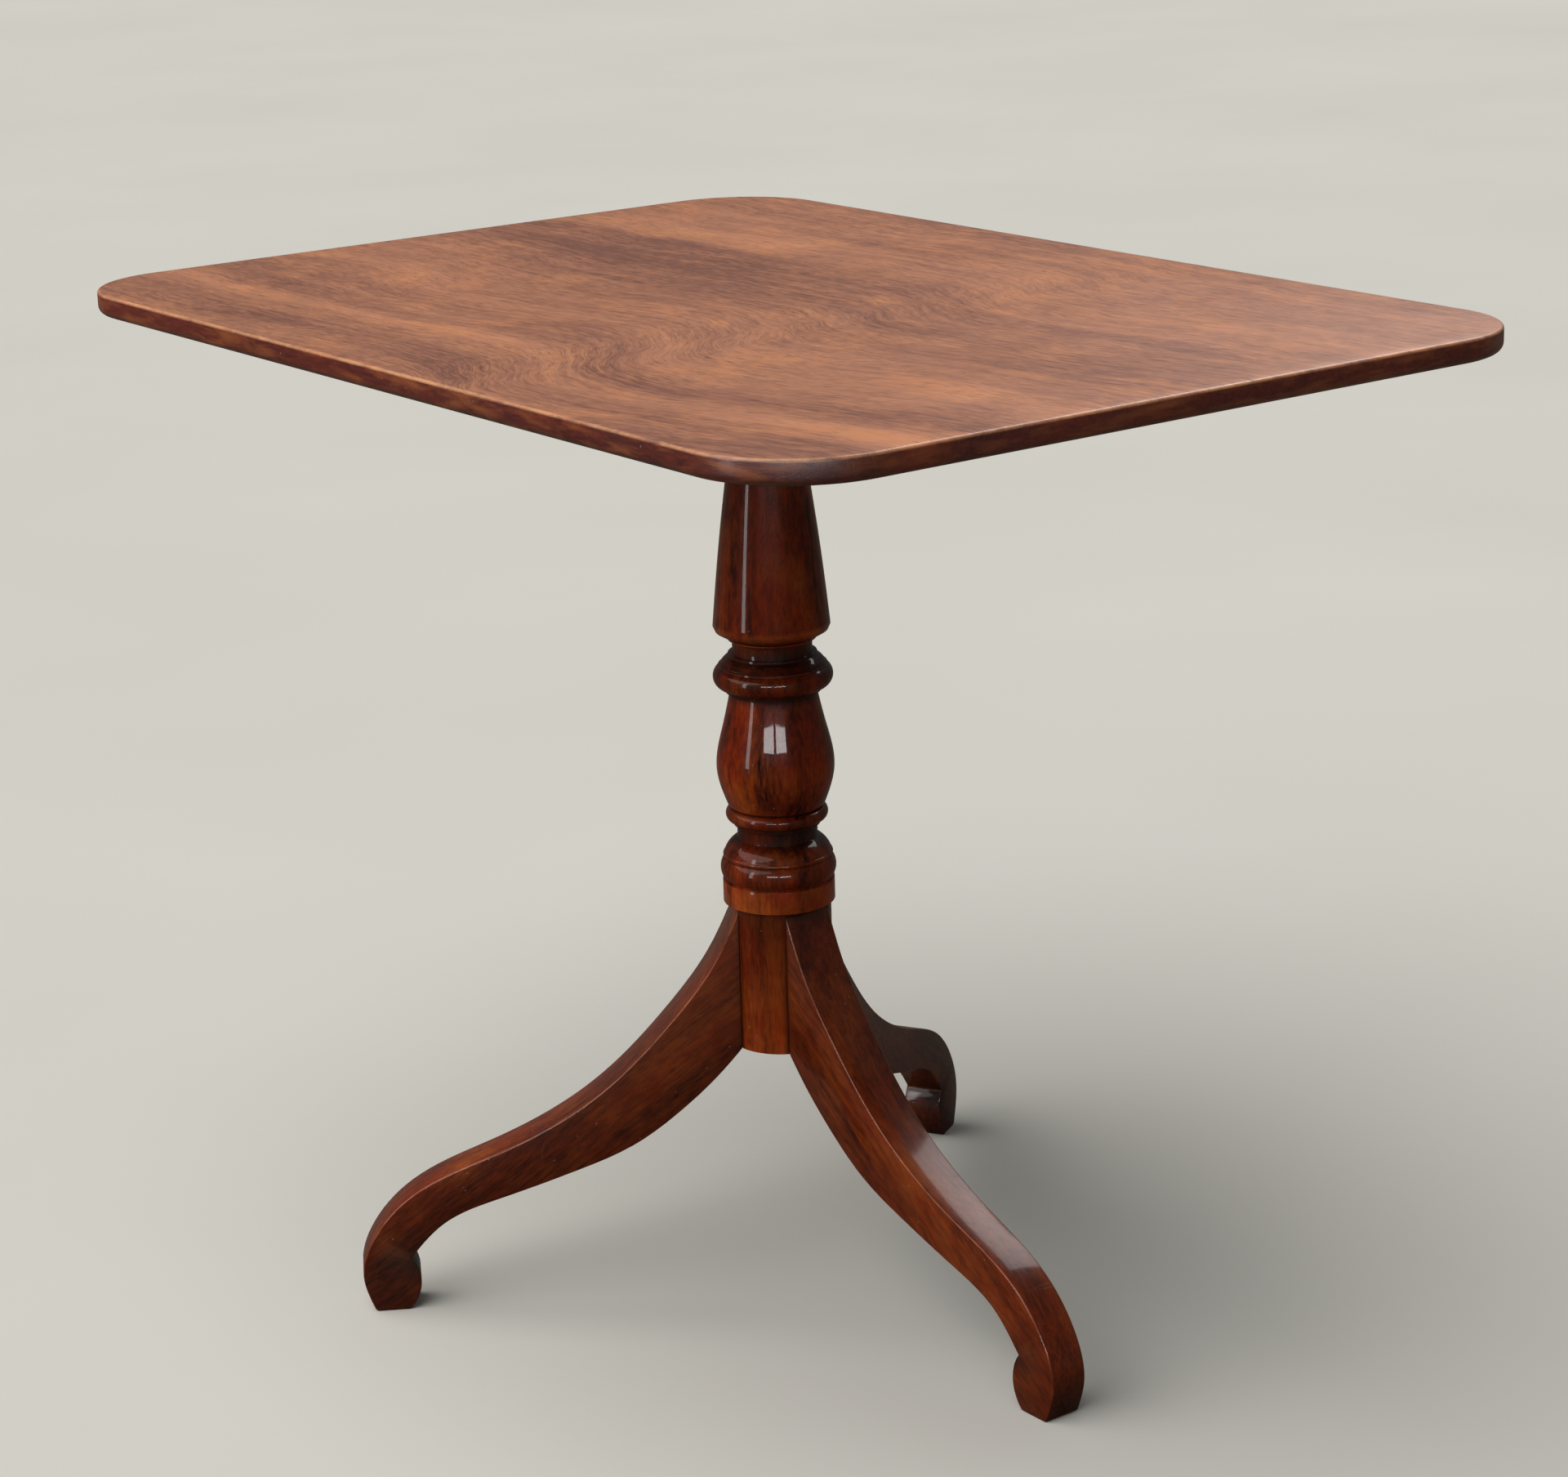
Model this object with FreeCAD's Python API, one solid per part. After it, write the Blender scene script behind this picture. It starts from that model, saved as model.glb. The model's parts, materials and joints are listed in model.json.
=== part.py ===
import FreeCAD, Part
import math
import os

# Tilt-top tripod table in millimetres, +Z up.
# The origin is on the floor under the middle of the column.
# X runs across the top, Y along its grain, and the single leg points to -Y.
# The top tips about an axis along X near the +Y edge of the pivot block.

# Whole table
table_height = 702
overrun = 5
tolerance = 0.01
screw_slot_width = 0.9
screw_slot_depth = 1.0

# Table top
top_length = 840
top_width = 610
top_thickness = 16
top_corner_radius = 74
top_upper_round = 2.2
top_lower_round = 5.5

# Pivot block and its two pins
block_width = 116
block_height = 36
block_front = 58
block_edge_chamfer = 3
block_nose_round = 21
pivot_offset = 44
pivot_drop = 18
tilt_gap = 0.3
pin_radius = 5
pin_clearance = 0.05
pin_socket = 34
pin_end_chamfer = 0.8

# Bearers under the top
bearer_length = 600
bearer_width = 28
bearer_height = 32
bearer_gap = 0.4
bearer_end_height = 13
bearer_end_taper = 62
bearer_screw_near = 88
bearer_screw_far = 222
bearer_screw_bite = 9
bearer_pocket_depth = 8
bearer_pocket_radius = 5.2

# Wood screws: head radius, head depth, shank radius
wood_screw_head = 4.2
wood_screw_cone = 2.6
wood_screw_shank = 1.9
small_screw_head = 2.9
small_screw_cone = 1.7
small_screw_shank = 1.3
small_screw_length = 11

# Column, from the floor up
base_bottom = 181
base_radius = 36
base_top = 284.5
band_radius = 38.9
band_height = 15.5
band_groove_radius = 37.9
band_groove_height = 1.5
torus_radius = 40.2
torus_height = 14.5
bead_radius = 38.2
bead_height = 3
bead_groove_radius = 37.4
bead_groove_height = 0.8
cushion_radius = 37.3
cushion_height = 10.5
cushion_full_share = 0.72
lower_neck_radius = 27.8
lower_neck_height = 9.7
ring_fillet_radius = 30.2
ring_fillet_height = 2.4
ring_radius = 35.5
ring_height = 10.2
ring_groove_radius = 31.6
ring_groove_height = 1.6
vase_foot_radius = 33.6
vase_belly_radius = 40.7
vase_belly_height = 26
vase_mouth_radius = 30
vase_height = 80.8
vase_shoulder_share = 0.707
collar_fillet_radius = 32.8
collar_fillet_height = 2.4
collar_radius = 41.3
collar_height = 15.6
collar_groove_radius = 37.6
collar_groove_height = 1
collar_ovolo_radius = 37
collar_ovolo_height = 6.6
collar_ovolo_full_share = 0.62
collar_step_radius = 30.6
collar_step_height = 1.6
upper_neck_radius = 27.5
upper_neck_height = 10
body_lip_radius = 30.4
body_lip_height = 1
body_corner_radius = 38.8
body_chamfer_height = 5
body_radius = 40.3
body_round_height = 3.4
body_top_radius = 24.2
body_waist_radius_share = 0.881
body_waist_height_share = 0.37
cap_bead_radius = 27.6
cap_bead_height = 7
cap_neck_radius = 25.2
cap_neck_height = 1.6
cap_radius = 33
cap_cove_height = 21.6
cap_cove_share = 0.3
cap_plate_height = 6
tenon_radius = 19
tenon_relief = 1
wedge_depth = 27
wedge_top_width = 4.4
wedge_tip_width = 1.4

# Legs: radial reach, rise at the column, thickness at the root and at the toe
leg_reach = 304
leg_rise = 282
leg_root_width = 37
leg_toe_width = 28
heel_radius = 271
toe_radius = 297
toe_bevel = 1.6
leg_top_shares = [(0.164, 0.863), (0.263, 0.723), (0.434, 0.544), (0.674, 0.404),
                  (0.875, 0.307), (0.967, 0.204), (1.0, 0.096)]
leg_under_shares = [(0.887, 0.138), (0.806, 0.225), (0.674, 0.282), (0.493, 0.344),
                    (0.362, 0.401), (0.247, 0.487), (0.158, 0.574)]
heel_bulge_share = (0.867, 0.067)
leg_names = ["leg_front", "leg_right", "leg_left"]
tongue_neck = 12
tongue_tail = 18
tongue_depth = 13
tongue_height = 92

# Iron plate under the column with an arm on each leg
plate_thickness = 2.5
plate_radius = 24
plate_arm_width = 17
plate_screw_ring = 14
plate_screw_length = 15
arm_screw_back = 11

# Brass catch under the top and its keeper in the block
catch_width = 44
catch_length = 66
catch_sheet = 2
catch_front_gap = 2
case_width = 26
case_length = 46
case_height = 14.4
case_wall = 1.6
case_front_gap = 3
bolt_width = 12
bolt_thickness = 5
bolt_drop = 4
bolt_clearance = 0.2
bolt_nose = 6
bolt_travel = 8
bolt_shoulder = 30
bolt_nose_bevel = 3.4
tail_radius = 1.6
tail_overhang = 5
spring_wire = 0.9
spring_radius = 3.4
spring_turns = 6
knob_stem_radius = 2
knob_stem_place = 17
knob_radius = 6.5
knob_height = 6
knob_stand_off = 2.5
knob_round = 2.2
catch_screw_inset = 5.5
keeper_width = 42
keeper_height = 17
keeper_sheet = 1.6
keeper_mortise_depth = 12
keeper_mortise_play = 0.6
keeper_screw_spread = 28

# Places that follow from the sizes above
top_under = table_height - top_thickness
pivot_height = top_under - pivot_drop
block_bottom = top_under - block_height
block_back = pivot_offset + pivot_drop - tilt_gap
bearer_inner = block_width / 2 + bearer_gap
bearer_outer = bearer_inner + bearer_width
shoulder_radius = math.sqrt(base_radius ** 2 - (leg_root_width / 2) ** 2)
bolt_top = top_under - catch_sheet - bolt_drop
bolt_bottom = bolt_top - bolt_thickness
case_front = -block_front - case_front_gap
case_back = case_front - case_length
case_bottom = top_under - catch_sheet - case_height
catch_front = -block_front - catch_front_gap
catch_back = catch_front - catch_length
stem_place = case_front - knob_stem_place
leg_step = 360 / len(leg_names)
leg_angles = {name: leg_step * count - 90 for count, name in enumerate(leg_names)}


def vector(x, y, z):
    return FreeCAD.Vector(x, y, z)


def block(x0, x1, y0, y1, z0, z1):
    return Part.makeBox(x1 - x0, y1 - y0, z1 - z0, vector(x0, y0, z0))


def rod(radius, start, end):
    axis = end - start
    return Part.makeCylinder(radius, axis.Length, start, axis)


def turned(shape, angle):
    copy = shape.copy()
    copy.rotate(vector(0, 0, 0), vector(0, 0, 1), angle)
    return copy


def save(name, shape):
    shape.exportStep("parts/" + name + ".step")
    print(name, len(shape.Solids), "solid", round(shape.Volume), shape.isValid())


def screw(head, direction, length, head_radius, cone_depth, shank_radius):
    """A slotted countersunk screw. Head is the middle of its flat face."""
    along = vector(*direction)
    along.normalize()
    under_head = head + along * cone_depth
    neck = Part.makeCone(head_radius, shank_radius, cone_depth, head, along)
    tip_length = 2 * shank_radius
    shank = rod(shank_radius, under_head, head + along * (length - tip_length))
    tip = Part.makeCone(shank_radius, 0, tip_length, head + along * (length - tip_length), along)
    return neck.fuse(shank).fuse(tip).removeSplitter()


def screw_slot(head, direction, head_radius):
    """The driver slot of a screw, a thin bar across its head."""
    bar = Part.makeBox(2 * head_radius + overrun, screw_slot_width, screw_slot_depth + overrun,
                       vector(-head_radius - overrun / 2, -screw_slot_width / 2, -overrun))
    turn = FreeCAD.Rotation(vector(0, 0, 1), vector(*direction))
    return bar.transformGeometry(FreeCAD.Placement(head, turn).toMatrix())


def screw_set(heads, directions, length, sizes):
    """Plain screws to cut their holes with, and the same screws slotted."""
    plain = []
    slotted = []
    for head, direction in zip(heads, directions):
        one = screw(head, direction, length, *sizes)
        plain.append(one)
        slotted.append(one.cut(screw_slot(head, direction, sizes[0])))
    return plain, Part.makeCompound(slotted)


wood_sizes = (wood_screw_head, wood_screw_cone, wood_screw_shank)
small_sizes = (small_screw_head, small_screw_cone, small_screw_shank)


# Table top

def rounded_plate(length, width, radius, bottom, thickness):
    sheet = block(-width / 2, width / 2, -length / 2, length / 2, bottom, bottom + thickness)
    upright = [e for e in sheet.Edges if abs(e.BoundBox.ZLength - thickness) < tolerance]
    return sheet.makeFillet(radius, upright)


def edges_at(shape, height):
    return [e for e in shape.Edges
            if abs(e.BoundBox.ZMin - height) < tolerance and abs(e.BoundBox.ZMax - height) < tolerance]


def make_top():
    top = rounded_plate(top_length, top_width, top_corner_radius, top_under, top_thickness)
    top = top.makeFillet(top_upper_round, edges_at(top, table_height))
    return top.makeFillet(top_lower_round, edges_at(top, top_under))


# Pivot block with a rounded back edge that clears the top as it tips

def make_block():
    body = block(-block_width / 2, block_width / 2, -block_front, block_back, block_bottom, top_under)
    nose = [e for e in edges_at(body, top_under) if abs(e.CenterOfMass.y - block_back) < tolerance]
    body = body.makeFillet(block_nose_round, nose)
    body = body.makeChamfer(block_edge_chamfer, edges_at(body, block_bottom))
    return body.cut(rod(tenon_radius, vector(0, 0, block_bottom - overrun), vector(0, 0, table_height)))


def make_pin(side):
    inner = side * (block_width / 2 - pin_socket)
    start = vector(inner, pivot_offset, pivot_height)
    pin = rod(pin_radius, start, vector(side * bearer_outer, pivot_offset, pivot_height))
    rims = [e for e in pin.Edges if abs(e.CenterOfMass.x - side * bearer_outer) < tolerance]
    return pin.makeChamfer(pin_end_chamfer, rims)


def make_bearer(side):
    half = bearer_length / 2
    low = top_under - bearer_height
    end_low = top_under - bearer_end_height
    points = [vector(0, -half, top_under), vector(0, half, top_under), vector(0, half, end_low),
              vector(0, half - bearer_end_taper, low), vector(0, bearer_end_taper - half, low),
              vector(0, -half, end_low)]
    outline = Part.Face(Part.makePolygon(points + [points[0]]))
    bar = outline.extrude(vector(bearer_width, 0, 0))
    bar.translate(vector(bearer_inner if side > 0 else -bearer_outer, 0, 0))
    hole = rod(pin_radius + pin_clearance, vector(-top_width, pivot_offset, pivot_height),
               vector(top_width, pivot_offset, pivot_height))
    return bar.cut(hole)


# Column: one outline of radius and height, turned about Z

class Outline:
    """Walks up the column. Each call adds one moulding of a given height."""

    def __init__(self, radius, height):
        self.edges = []
        self.at = vector(radius, 0, height)

    def to(self, radius, height):
        end = vector(radius, 0, height)
        self.edges.append(Part.makeLine(self.at, end))
        self.at = end
        return self

    def step(self, radius):
        return self.to(radius, self.at.z)

    def rise(self, height):
        return self.to(self.at.x, self.at.z + height)

    def roll(self, radius, height):
        """A half-round that swells from where it stands out to the radius."""
        return self.bulge(radius, self.at.x, height)

    def bulge(self, middle_radius, end_radius, height):
        middle = vector(middle_radius, 0, self.at.z + height / 2)
        end = vector(end_radius, 0, self.at.z + height)
        self.edges.append(Part.Arc(self.at, middle, end).toShape())
        self.at = end
        return self

    def sweep(self, points):
        """One smooth curve from where it stands through the points."""
        curve = Part.BSplineCurve()
        curve.interpolate([self.at] + points)
        self.edges.append(curve.toShape())
        self.at = points[-1]
        return self


def column_outline():
    line = Outline(0, base_bottom)
    line.step(base_radius).to(base_radius, base_top)
    line.step(band_radius).rise(band_height)
    line.step(band_groove_radius).rise(band_groove_height)
    line.roll(torus_radius, torus_height)
    line.step(bead_groove_radius).rise(bead_groove_height)
    line.roll(bead_radius, bead_height)
    line.step(cushion_radius)
    cushion_middle = lower_neck_radius + (cushion_radius - lower_neck_radius) * cushion_full_share
    line.bulge(cushion_middle, lower_neck_radius, cushion_height)
    line.rise(lower_neck_height)
    line.step(ring_fillet_radius).rise(ring_fillet_height)
    line.roll(ring_radius, ring_height)
    line.step(ring_groove_radius).rise(ring_groove_height)
    line.step(vase_foot_radius)
    foot = line.at.z
    belly = vector(vase_belly_radius, 0, foot + vase_belly_height)
    mouth = vector(vase_mouth_radius, 0, foot + vase_height)
    shoulder = vector((belly.x + mouth.x) / 2, 0, foot + vase_height * vase_shoulder_share)
    line.sweep([belly, shoulder, mouth])
    line.step(collar_fillet_radius).rise(collar_fillet_height)
    line.bulge(collar_radius, collar_groove_radius, collar_height)
    line.rise(collar_groove_height)
    line.step(collar_ovolo_radius)
    ovolo_middle = collar_step_radius + (collar_ovolo_radius - collar_step_radius) * collar_ovolo_full_share
    line.bulge(ovolo_middle, collar_step_radius, collar_ovolo_height)
    line.rise(collar_step_height)
    line.step(upper_neck_radius).rise(upper_neck_height)
    line.step(body_lip_radius).rise(body_lip_height)
    line.to(body_corner_radius, line.at.z + body_chamfer_height)
    foot = line.at.z
    cap_foot = block_bottom - cap_plate_height - cap_cove_height - cap_bead_height - cap_neck_height
    body_height = cap_foot - foot
    line.to(body_radius, foot + body_round_height)
    waist = vector(body_radius * body_waist_radius_share, 0, foot + body_height * body_waist_height_share)
    line.sweep([waist, vector(body_top_radius, 0, foot + body_height)])
    line.rise(cap_neck_height)
    line.bulge(cap_bead_radius, cap_neck_radius, cap_bead_height)
    cove_middle = cap_neck_radius + (cap_radius - cap_neck_radius) * cap_cove_share
    line.bulge(cove_middle, cap_radius, cap_cove_height)
    line.rise(cap_plate_height)
    line.step(tenon_radius).to(tenon_radius, top_under - tenon_relief)
    line.step(0).to(0, base_bottom)
    return Part.Face(Part.Wire(line.edges))


def make_wedge():
    high = top_under - tenon_relief
    points = [vector(-tenon_radius - overrun, -wedge_tip_width / 2, high - wedge_depth),
              vector(-tenon_radius - overrun, wedge_tip_width / 2, high - wedge_depth),
              vector(-tenon_radius - overrun, wedge_top_width / 2, high),
              vector(-tenon_radius - overrun, -wedge_top_width / 2, high)]
    face = Part.Face(Part.makePolygon(points + [points[0]]))
    sheet = face.extrude(vector(2 * (tenon_radius + overrun), 0, 0))
    return sheet.common(rod(tenon_radius, vector(0, 0, block_bottom), vector(0, 0, high)))


# Legs, drawn along +X and turned to their places

def leg_point(share):
    return vector(leg_reach * share[0], 0, leg_rise * share[1])


def smooth(points):
    curve = Part.BSplineCurve()
    curve.interpolate(points)
    return curve.toShape()


def leg_side():
    """The side view of a leg as one face in the XZ plane."""
    crown = vector(shoulder_radius, 0, leg_rise)
    root = vector(shoulder_radius, 0, base_bottom)
    toe = vector(toe_radius, 0, toe_bevel)
    toe_foot = vector(toe_radius - toe_bevel, 0, 0)
    heel_foot = vector(heel_radius + toe_bevel, 0, 0)
    heel = vector(heel_radius, 0, toe_bevel)
    notch = leg_point(leg_under_shares[0])
    upper = smooth([crown] + [leg_point(s) for s in leg_top_shares] + [toe])
    under = smooth([leg_point(s) for s in leg_under_shares] + [root])
    edges = [upper, Part.makeLine(toe, toe_foot), Part.makeLine(toe_foot, heel_foot),
             Part.makeLine(heel_foot, heel), Part.Arc(heel, leg_point(heel_bulge_share), notch).toShape(),
             under, Part.makeLine(root, crown)]
    return Part.Face(Part.Wire(edges))


def plan_taper():
    """The leg seen from above: wide at the root and narrower at the toe."""
    wide = leg_root_width / 2
    narrow = leg_toe_width / 2
    points = [vector(shoulder_radius, -wide, 0), vector(leg_reach, -narrow, 0),
              vector(leg_reach, narrow, 0), vector(shoulder_radius, wide, 0)]
    face = Part.Face(Part.makePolygon(points + [points[0]]))
    return face.extrude(vector(0, 0, leg_rise))


def tongue():
    """The dovetail that slides up into the column."""
    tail = shoulder_radius - tongue_depth
    near = tongue_neck / 2
    far = tongue_tail / 2
    points = [vector(shoulder_radius, -near, base_bottom), vector(tail, -far, base_bottom),
              vector(tail, far, base_bottom), vector(shoulder_radius, near, base_bottom)]
    face = Part.Face(Part.makePolygon(points + [points[0]]))
    return face.extrude(vector(0, 0, tongue_height))


def make_leg():
    side = leg_side().extrude(vector(0, leg_root_width, 0))
    side.translate(vector(0, -leg_root_width / 2, 0))
    return side.common(plan_taper()).fuse(tongue()).removeSplitter()


def leg_bed():
    """What a leg takes out of the column: a flat for its shoulder and the dovetail socket."""
    flat = block(shoulder_radius, base_radius + overrun, -leg_root_width / 2, leg_root_width / 2,
                 base_bottom - overrun, base_top)
    return flat.fuse(tongue())


# Iron plate: a disc with three arms bent down along the legs

arm_end = leg_point(leg_under_shares[-2])
arm_bend = vector(shoulder_radius, 0, base_bottom - plate_thickness)
arm_slope = (arm_end - arm_bend).normalize()
arm_normal = vector(-arm_slope.z, 0, arm_slope.x)


def plate_arm():
    rise = vector(0, 0, plate_thickness)
    inner = vector(0, 0, base_bottom - plate_thickness)
    points = [inner, arm_bend, arm_end, arm_end + rise, arm_bend + rise, inner + rise]
    face = Part.Face(Part.makePolygon(points + [points[0]]))
    arm = face.extrude(vector(0, plate_arm_width, 0))
    arm.translate(vector(0, -plate_arm_width / 2, 0))
    return arm


def make_plate():
    plate = rod(plate_radius, vector(0, 0, base_bottom - plate_thickness), vector(0, 0, base_bottom))
    for angle in leg_angles.values():
        plate = plate.fuse(turned(plate_arm(), angle))
    return plate.removeSplitter()


def plate_screws():
    heads = []
    directions = []
    for angle in leg_angles.values():
        turn = FreeCAD.Rotation(vector(0, 0, 1), angle)
        between = FreeCAD.Rotation(vector(0, 0, 1), angle + leg_step / 2)
        heads.append(turn.multVec(arm_end - arm_slope * arm_screw_back))
        directions.append(turn.multVec(arm_normal))
        heads.append(between.multVec(vector(plate_screw_ring, 0, base_bottom - plate_thickness)))
        directions.append(vector(0, 0, 1))
    return screw_set(heads, directions, plate_screw_length, small_sizes)


# Catch: a brass case under the top, a sprung bolt and a keeper in the block

def make_keeper():
    middle = (bolt_top + bolt_bottom) / 2
    plate = block(-keeper_width / 2, keeper_width / 2, -block_front, keeper_sheet - block_front,
                  middle - keeper_height / 2, middle + keeper_height / 2)
    return plate


def keeper_mortise():
    wide = bolt_width / 2 + keeper_mortise_play
    return block(-wide, wide, -block_front - overrun, keeper_mortise_depth - block_front,
                 bolt_bottom - keeper_mortise_play, bolt_top + keeper_mortise_play)


def keeper_screws():
    middle = (bolt_top + bolt_bottom) / 2
    heads = [vector(side * keeper_screw_spread / 2, -block_front, middle) for side in (-1, 1)]
    return screw_set(heads, [vector(0, 1, 0)] * 2, small_screw_length, small_sizes)


def make_catch_plate():
    half = catch_width / 2
    return block(-half, half, catch_back, catch_front, top_under - catch_sheet, top_under)


def make_case():
    high = top_under - catch_sheet
    half = case_width / 2
    case = block(-half, half, case_back, case_front, case_bottom, high)
    case = case.cut(block(case_wall - half, half - case_wall, case_back + case_wall, case_front - case_wall,
                          case_bottom + case_wall, high + overrun))
    play = bolt_width / 2 + bolt_clearance
    case = case.cut(block(-play, play, case_front - 2 * case_wall, case_front + overrun,
                          bolt_bottom - bolt_clearance, bolt_top + bolt_clearance))
    middle = (bolt_top + bolt_bottom) / 2
    case = case.cut(rod(tail_radius + bolt_clearance, vector(0, case_back - overrun, middle),
                        vector(0, case_back + 2 * case_wall, middle)))
    slot = knob_stem_radius + bolt_clearance
    return case.cut(block(-slot, slot, stem_place - bolt_travel - slot, stem_place + slot,
                          case_bottom - overrun, case_bottom + 2 * case_wall))


def make_bolt():
    tip = bolt_nose - block_front
    tail = case_front - bolt_shoulder
    middle = (bolt_top + bolt_bottom) / 2
    half = bolt_width / 2
    points = [vector(-half, tail, bolt_top), vector(-half, tip, bolt_top),
              vector(-half, tip, bolt_bottom + bolt_nose_bevel),
              vector(-half, tip - bolt_nose_bevel, bolt_bottom), vector(-half, tail, bolt_bottom)]
    face = Part.Face(Part.makePolygon(points + [points[0]]))
    bar = face.extrude(vector(bolt_width, 0, 0))
    spindle = rod(tail_radius, vector(0, tail, middle), vector(0, case_back - tail_overhang, middle))
    stem_hole = rod(knob_stem_radius, vector(0, stem_place, bolt_bottom - overrun),
                    vector(0, stem_place, middle))
    return bar.fuse(spindle).cut(stem_hole).removeSplitter()


def make_knob():
    middle = (bolt_top + bolt_bottom) / 2
    head_top = case_bottom - knob_stand_off
    head = rod(knob_radius, vector(0, stem_place, head_top - knob_height), vector(0, stem_place, head_top))
    head = head.makeFillet(knob_round, edges_at(head, head_top) + edges_at(head, head_top - knob_height))
    stem_foot = vector(0, stem_place, head_top - knob_height / 2)
    stem = rod(knob_stem_radius, stem_foot, vector(0, stem_place, middle))
    return head.fuse(stem).removeSplitter()


def make_spring():
    start = case_back + case_wall
    end = case_front - bolt_shoulder
    middle = (bolt_top + bolt_bottom) / 2
    length = end - start - spring_wire
    helix = Part.makeHelix(length / spring_turns, length, spring_radius)
    ring = Part.Wire([Part.makeCircle(spring_wire / 2, vector(spring_radius, 0, 0), vector(0, 1, 0))])
    coil = Part.Wire(helix.Edges).makePipeShell([ring], True, True)
    coil.rotate(vector(0, 0, 0), vector(1, 0, 0), -90)
    coil.translate(vector(0, start + spring_wire / 2, middle))
    return coil


def catch_screws():
    heads = []
    for side in (-1, 1):
        for y in (catch_front - catch_screw_inset, catch_back + catch_screw_inset):
            heads.append(vector(side * (catch_width / 2 - catch_screw_inset), y, top_under - catch_sheet))
    return screw_set(heads, [vector(0, 0, 1)] * len(heads), small_screw_length, small_sizes)


def bearer_screws(side):
    low = top_under - bearer_height + bearer_pocket_depth
    places = [bearer_screw_far, bearer_screw_near, -bearer_screw_near, -bearer_screw_far]
    middle = side * (bearer_inner + bearer_outer) / 2
    heads = [vector(middle, y, low) for y in places]
    length = top_under - low + bearer_screw_bite
    plain, slotted = screw_set(heads, [vector(0, 0, 1)] * len(heads), length, wood_sizes)
    down = vector(0, 0, -2 * bearer_pocket_depth)
    pockets = [rod(bearer_pocket_radius, head + down, head) for head in heads]
    return plain, pockets, slotted


def cut_all(shape, tools):
    for tool in tools:
        shape = shape.cut(tool)
    return shape


# Put the pieces together, each hole cut by what sits in it

os.makedirs("parts", exist_ok=True)

top = make_top()
for side, name in ((-1, "left"), (1, "right")):
    plain, pockets, slotted = bearer_screws(side)
    top = cut_all(top, plain)
    save("bearer_" + name, cut_all(make_bearer(side), plain + pockets))
    save("bearer_screws_" + name, slotted)

plain, slotted = catch_screws()
save("table_top", cut_all(top, plain))
save("catch_plate", cut_all(make_catch_plate(), plain))
save("catch_screws", slotted)
save("catch_case", make_case())
save("catch_bolt", make_bolt())
save("catch_knob", make_knob())
save("catch_spring", make_spring())

plain, slotted = keeper_screws()
pins = {"pivot_pin_left": make_pin(-1), "pivot_pin_right": make_pin(1)}
pivot_block = cut_all(make_block(), [make_keeper(), keeper_mortise()] + plain + list(pins.values()))
save("pivot_block", pivot_block)
save("keeper_plate", cut_all(make_keeper(), [keeper_mortise()] + plain))
save("keeper_screws", slotted)
for name, pin in pins.items():
    save(name, pin)

plain, slotted = plate_screws()
plate = make_plate()
leg = make_leg()
column = column_outline().revolve(vector(0, 0, 0), vector(0, 0, 1), 360)
wedge = make_wedge()
column = column.cut(wedge)
for name, angle in leg_angles.items():
    column = column.cut(turned(leg_bed(), angle))
    save(name, cut_all(turned(leg, angle), [plate] + plain))
save("column", cut_all(column, plain))
save("tenon_wedge", wedge)
save("spider_plate", cut_all(plate, plain))
save("spider_screws", slotted)
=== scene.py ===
# %% [markdown]
# # A tilt-top tripod table
# The table is an old mahogany side table: one wide board on a turned column, and three
# curved legs that end in small scrolls. Its block, bearers, catch and screws arrive as a fixed
# model in metres, and this lesson dresses it. The pieces that show most are modelled
# again here with softer edges, and each stays exactly where the fixed model has it.

# %% Load the fixed model
import json
import math
import bmesh
import bpy
import numpy as np
from mathutils import Matrix, Vector


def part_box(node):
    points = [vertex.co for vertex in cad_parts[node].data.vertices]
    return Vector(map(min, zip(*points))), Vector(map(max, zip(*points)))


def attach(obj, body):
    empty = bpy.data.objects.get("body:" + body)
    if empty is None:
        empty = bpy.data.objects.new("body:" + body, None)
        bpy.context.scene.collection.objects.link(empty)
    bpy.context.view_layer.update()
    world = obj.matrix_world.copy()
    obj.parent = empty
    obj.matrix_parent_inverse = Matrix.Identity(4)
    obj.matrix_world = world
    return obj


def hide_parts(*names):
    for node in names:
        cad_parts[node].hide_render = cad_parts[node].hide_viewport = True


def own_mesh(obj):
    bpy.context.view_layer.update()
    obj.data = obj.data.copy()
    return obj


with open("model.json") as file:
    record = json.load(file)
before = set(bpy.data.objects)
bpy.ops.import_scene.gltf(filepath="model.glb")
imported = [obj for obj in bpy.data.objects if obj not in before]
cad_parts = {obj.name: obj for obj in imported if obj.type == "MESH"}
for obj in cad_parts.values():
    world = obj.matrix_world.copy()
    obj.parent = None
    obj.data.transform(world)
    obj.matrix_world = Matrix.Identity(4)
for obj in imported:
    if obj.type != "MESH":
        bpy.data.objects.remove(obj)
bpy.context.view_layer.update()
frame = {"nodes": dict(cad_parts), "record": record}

# %% [markdown]
# ## Helpers for modelling
# Every operator works on what is selected, so each step begins by choosing one object and
# then the faces or edges it needs. Picking them in code by where they lie gives the same choice
# each time the script runs.

# %% Helpers: choose, pick, finish
MM = 0.001


def choose(piece):
    """Makes one object the only selected one."""
    if bpy.context.object and bpy.context.object.mode == "EDIT":
        bpy.ops.object.mode_set(mode="OBJECT")
    bpy.ops.object.select_all(action="DESELECT")
    piece.select_set(True)
    bpy.context.view_layer.objects.active = piece


def named(name):
    piece = bpy.context.object
    piece.name = piece.data.name = name
    return piece


def edit(piece, kind):
    """Opens the piece in edit mode with nothing picked. Kind is VERT, EDGE or FACE."""
    choose(piece)
    bpy.ops.object.mode_set(mode="EDIT")
    bpy.ops.mesh.select_mode(type=kind)
    bpy.ops.mesh.select_all(action="DESELECT")


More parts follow.
